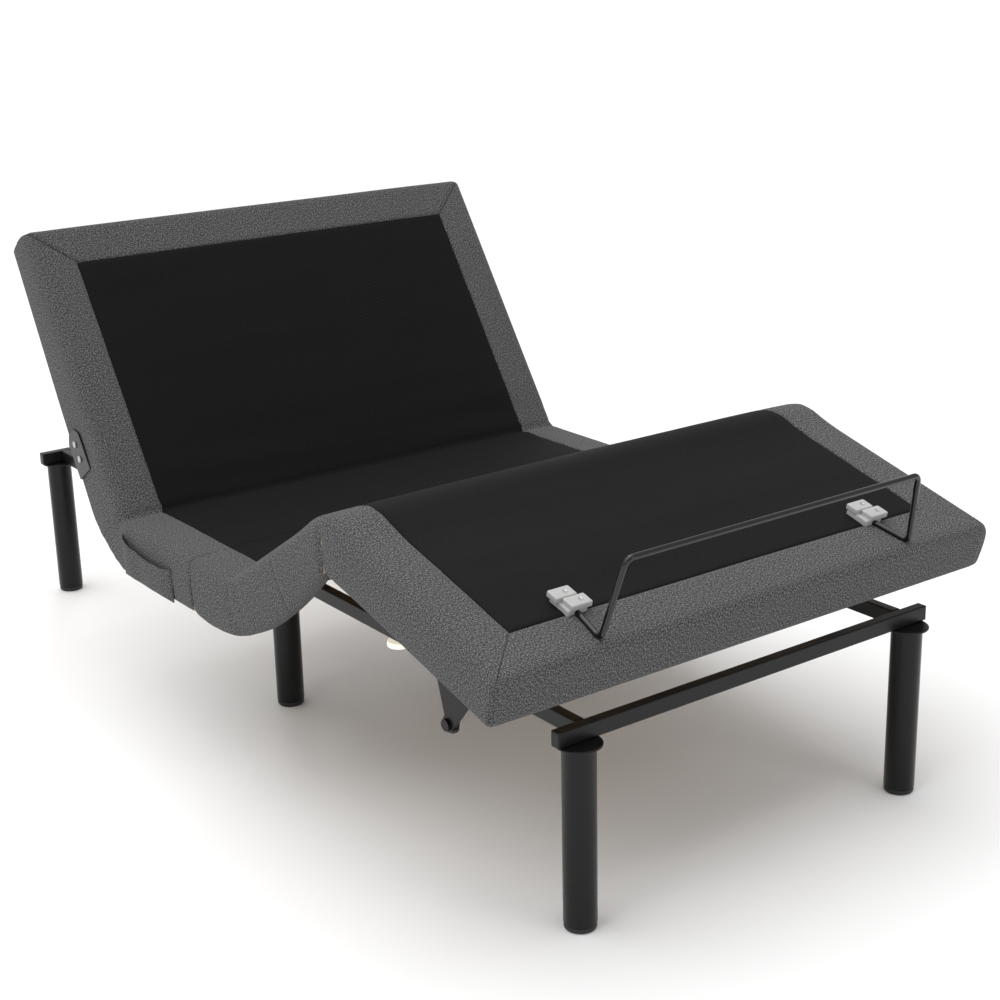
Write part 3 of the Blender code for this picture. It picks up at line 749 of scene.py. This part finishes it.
# ---- black powder coat: tubes, levers, links and brackets ----
# The welded tube frame and its brackets are mild steel with a thin black powder coat that has a
# fine orange peel, a faint cloudiness and a little settled dust.
def coated(name, tone, rough, peel, uneven, shine):
    """A powder coat. peel is the orange peel's scale, and uneven how far the roughness wanders."""
    made = Finish(name, Specular_IOR_Level=shine)
    place = made.node("ShaderNodeTexCoord", None, (), 3)
    skin = made.grain(place, peel, 2.0)
    cloud = made.grain(place, 9.0, 4.0)
    dust = made.grain(place, 160.0, 2.0).above(0.70, 0.05)
    shade = made.blend(cloud, tone, tuple(c * 1.8 + 0.002 for c in tone))
    shade = made.blend(dust * 0.12, shade, (0.03, 0.03, 0.03))
    surface = rough + uneven * (cloud - 0.5) + 0.10 * dust
    return made.feed(Base_Color=shade, Roughness=surface, Normal=made.bump(skin, 0.00025, 0.35))


frame_coat = coated("frame_powder_coat", (0.0032, 0.0032, 0.0034), 0.34, 750.0, 0.12, 0.26)
leg_coat = coated("leg_powder_coat", (0.0030, 0.0030, 0.0032), 0.26, 900.0, 0.10, 0.26)
bar_coat = coated("bar_gloss_coat", (0.0012, 0.0012, 0.0013), 0.08, 500.0, 0.05, 0.55)

# ---- zinc-plated steel: pins and sliding rods ----
# Bright zinc plate with fine turning marks along the rods and a faint cloudy bloom.
zinc = Finish("zinc_plate", Metallic=1.0)
place = zinc.node("ShaderNodeTexCoord", None, (), 3)
bloom = zinc.grain(place, 60.0, 4.0)
marks = zinc.grain(zinc.stretched(place, (90, 3000, 90)), 1.0, 2.0)
zinc_plate = zinc.feed(
    Base_Color=zinc.blend(bloom, (0.36, 0.36, 0.37), (0.58, 0.58, 0.60)),
    Roughness=0.26 + 0.22 * bloom,
    Normal=zinc.bump(marks, 0.0002, 0.3),
)

# ---- plywood deck boards ----
# Rotary-cut plywood, unfinished underneath, with long grain across the bed, darker streaks and a
# sanded surface.
ply = Finish("plywood", Specular_IOR_Level=0.3)
place = ply.node("ShaderNodeTexCoord", None, (), 3)
grain = ply.grain(ply.stretched(place, (5, 60, 60)), 1.0, 5.0, 0.6)
fine = ply.grain(ply.stretched(place, (30, 700, 700)), 1.0, 2.0)
shade = ply.blend(grain, (0.23, 0.15, 0.085), (0.50, 0.37, 0.23))
shade = ply.blend(fine.above(0.62, 0.06) * 0.5, shade, (0.16, 0.095, 0.05))
relief = ply.bump(fine + grain * 0.5, 0.0004, 0.5)
plywood = ply.feed(Base_Color=shade, Roughness=0.62 + 0.2 * fine, Normal=relief)


# ---- moulded plastic: gear cases, power supply, clamps, plates ----
# Injection-moulded nylon and ABS with a fine spark texture.
def moulded(name, tone, rough, texture, depth):
    made = Finish(name, Specular_IOR_Level=0.45)
    place = made.node("ShaderNodeTexCoord", None, (), 3)
    spark = made.grain(place, texture, 2.0)
    cloud = made.grain(place, 22.0, 3.0)
    shade = made.blend(cloud, tuple(c * 0.86 for c in tone), tuple(c * 1.1 for c in tone))
    surface = rough + 0.12 * (spark - 0.5) + 0.08 * cloud
    return made.feed(Base_Color=shade, Roughness=surface, Normal=made.bump(spark, depth, 0.4))


case_black = moulded("case_plastic", (0.014, 0.014, 0.015), 0.46, 1400.0, 0.0003)
plate_black = moulded("plate_plastic", (0.010, 0.010, 0.011), 0.30, 1800.0, 0.0001)
clamp_grey = moulded("clamp_plastic", (0.46, 0.46, 0.455), 0.48, 1500.0, 0.0002)

# ---- under-bed lights ----
# A frosted acrylic lens over a warm LED, one under each side of the deck, glowing faintly.
lens = Finish("lamp_lens", Emission_Strength=0.6, Roughness=0.35)
place = lens.node("ShaderNodeTexCoord", None, (), 3)
frost = lens.grain(place, 420.0, 2.0)
lens_finish = lens.feed(
    Base_Color=lens.blend(frost, (0.80, 0.78, 0.68), (0.95, 0.93, 0.84)),
    Emission_Color=lens.blend(frost, (0.95, 0.88, 0.66), (1.0, 0.96, 0.80)),
    Normal=lens.bump(frost, 0.0003, 0.5),
)

# ---- finish of each part kept from the frame ----
# Every part takes the finish that its name calls for: powder coat on steel, zinc on pins and rods,
# bare plywood, and moulded plastic on the cases.
finish_rows = (
    (("crossbar", "side_rail", "actuator_tube", "lever"), frame_coat),
    (("link_", "leg_link", "brace", "flange"), frame_coat),
    (("leg_foot", "leg_middle", "leg_head"), leg_coat),
    (("hinge_pin", "back_rod", "thigh_rod", "port"), zinc_plate),
    (("_board",), plywood),
    (("housing", "motor", "power_supply", "control_box", "remote_pocket"), case_black),
    (("charging_plate",), plate_black),
    (("clamp",), clamp_grey),
    (("light_",), lens_finish),
    (("retainer_bar",), bar_coat),
    (("_pad",), grey_cloth),
)
for node_name, node in frame["nodes"].items():
    for words, finish in finish_rows:
        if any(word in node_name for word in words):
            node.data.materials.clear()
            node.data.materials.append(finish)


# ---- legs and flanges ----
# Six lengths of 2 inch round tube, each with a rounded lower rim on a nylon glide and a pressed
# steel flange welded under the frame tube.
def lathe(name, profile, x, y, material, sides=72):
    """A turned piece about a vertical axis from (radius, height) points."""
    bm = bmesh.new()
    rings = []
    for radius, z in profile:
        ring = []
        for k in range(sides):
            angle = 2 * math.pi * k / sides
            ring.append(bm.verts.new((x + radius * math.cos(angle), y + radius * math.sin(angle), z)))
        rings.append(ring)
    skin(bm, rings)
    obj = piece_of(bm, name, material)
    edges = obj.modifiers.new("crisp_edges", "EDGE_SPLIT")
    edges.split_angle = math.radians(40)
    return obj


def round_over(radius, z, size, way, count=5):
    """Profile points that round the rim at (radius, z); way 1 goes up the side, -1 down."""
    found = []
    for k in range(count + 1):
        angle = math.pi / 2 * k / count
        found.append((radius - size + size * math.sin(angle), z + way * size * (1 - math.cos(angle))))
    return found


glide_height = 0.0090
glide_inset = 0.0008
leg_foot_z = 0.0092
flange_bore = 0.02
flange_rim = 0.0016
for row in ("foot", "middle", "head"):
    for word in ("left", "right"):
        name = f"leg_{row}_{word}"
        low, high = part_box(name)
        x, y = (low.x + high.x) / 2, (low.y + high.y) / 2
        radius = (high.x - low.x) / 2
        glide_radius = radius - glide_inset
        profile = [(radius - 0.006, 0.0)] + round_over(glide_radius, 0.0, 0.004, 1)
        profile += [(glide_radius, glide_height)]
        glide = lathe(f"glide_{row}_{word}", profile, x, y, case_black)
        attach(glide, "frame")
        profile = [(radius - 0.003, leg_foot_z)] + round_over(radius, leg_foot_z, 0.0025, 1)
        profile += [(radius, 0.15), (radius, high.z - 0.002)]
        leg = lathe("tube_" + name, profile, x, y, leg_coat)
        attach(leg, "frame")
        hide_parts(name)
        low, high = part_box("flange_" + row + "_" + word)
        radius = (high.x - low.x) / 2
        profile = [(flange_bore, low.z)] + round_over(radius, low.z, flange_rim, 1)
        profile += round_over(radius, high.z, flange_rim, -1)[::-1] + [(flange_bore, high.z)]
        flange = lathe(f"round_flange_{row}_{word}", profile, x, y, frame_coat)
        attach(flange, "frame")
        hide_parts("flange_" + row + "_" + word)

# ---- mattress retainer bar ----
# One length of 9.6 mm steel rod bent into a hoop that leans with the foot end and keeps the
# mattress from sliding off. Its feet lie flat on the cover under two clamps.
bar_low, bar_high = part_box("retainer_bar")
bar_radius = 0.0048


def on_calf(x, along, height):
    """A point over the lower-leg section."""
    return Vector((x, *on_section(knee_hinge, calf_tilt, along, height)))


foot_line = board_ease - calf_reach
bar_z = foam_top + 0.0065
half_hoop = [
    (0.301, foot_line + 0.110, bar_z),
    (0.306, foot_line + 0.070, bar_z),
    (0.315, foot_line + 0.010, bar_z),
    (0.2955, foot_line + 0.012, bar_z + 0.118),
    (0.288, foot_line + 0.012, bar_z + 0.125),
]
hoop = [on_calf(-x, y, z) for x, y, z in half_hoop] + [on_calf(x, y, z) for x, y, z in reversed(half_hoop)]
bar = tube("retainer_hoop", hoop, bar_radius, bar_coat, sides=20, bend=0.013)
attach(bar, "calf")
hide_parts("retainer_bar")


# ---- bar clamps ----
# Light grey nylon clamps: a low base on the cover with two stepped caps on top, each held down
# by a round-headed screw. They grip the feet of the hoop.
def block(name, size, at, material, body, round_off):
    """A moulded block with well rounded edges, turned to lie on the lower-leg section."""
    bm = bmesh.new()
    bmesh.ops.create_cube(bm, size=1.0)
    bmesh.ops.scale(bm, vec=size, verts=bm.verts)
    bmesh.ops.bevel(bm, geom=bm.edges[:], offset=round_off, segments=4, profile=0.6, affect="EDGES")
    lie = Matrix.Translation(at) @ Matrix.Rotation(calf_tilt, 4, "X")
    bmesh.ops.transform(bm, matrix=lie, verts=bm.verts)
    for face in bm.faces:
        face.smooth = True
    obj = piece_of(bm, name, material)
    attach(obj, body)
    return obj


screw_sides = 24


def screw_head(name, at):
    """A flat round screw head with a rolled rim and a dished middle."""
    profile = ((0.0042, -0.0012), (0.0042, 0.0004), (0.0036, 0.0008), (0.0030, 0.0001), (0.0012, 0.0))
    bm = bmesh.new()
    rings = []
    for radius, z in profile:
        ring = []
        for k in range(screw_sides):
            angle = 2 * math.pi * k / screw_sides
            ring.append(bm.verts.new((radius * math.cos(angle), radius * math.sin(angle), z)))
        rings.append(ring)
    skin(bm, rings)
    lie = Matrix.Translation(at) @ Matrix.Rotation(calf_tilt, 4, "X")
    bmesh.ops.transform(bm, matrix=lie, verts=bm.verts)
    obj = piece_of(bm, name, zinc_plate)
    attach(obj, "calf")
    return obj


clamp_x = 0.306
clamp_back = 0.098
for side, word in ((-1, "left"), (1, "right")):
    x = side * clamp_x
    y = foot_line + clamp_back
    base_mid = on_calf(x - side * 0.002, y, foam_top + 0.0070)
    base = block("clamp_body_" + word, (0.036, 0.044, 0.0120), base_mid, clamp_grey, "calf", 0.0030)
    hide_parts("clamp_base_" + word)
    for step, (dx, dy) in enumerate(((-0.002, 0.013), (0.007, -0.012))):
        at = x + dx
        top = on_calf(at, y + dy, foam_top + 0.0160)
        lobe = f"clamp_lobe_{word}_{step}"
        cap = block(lobe, (0.038, 0.024, 0.0100), top, clamp_grey, "calf", 0.0028)
        if step == 0:
            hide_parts("clamp_cap_" + word)
        screw_at = on_calf(at + 0.004, y + dy, foam_top + 0.0210)
        screw = screw_head(f"clamp_screw_{word}_{step}", screw_at)

size = {"cad": [list(v) for v in cad_box], "visual": [list(v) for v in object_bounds()]}
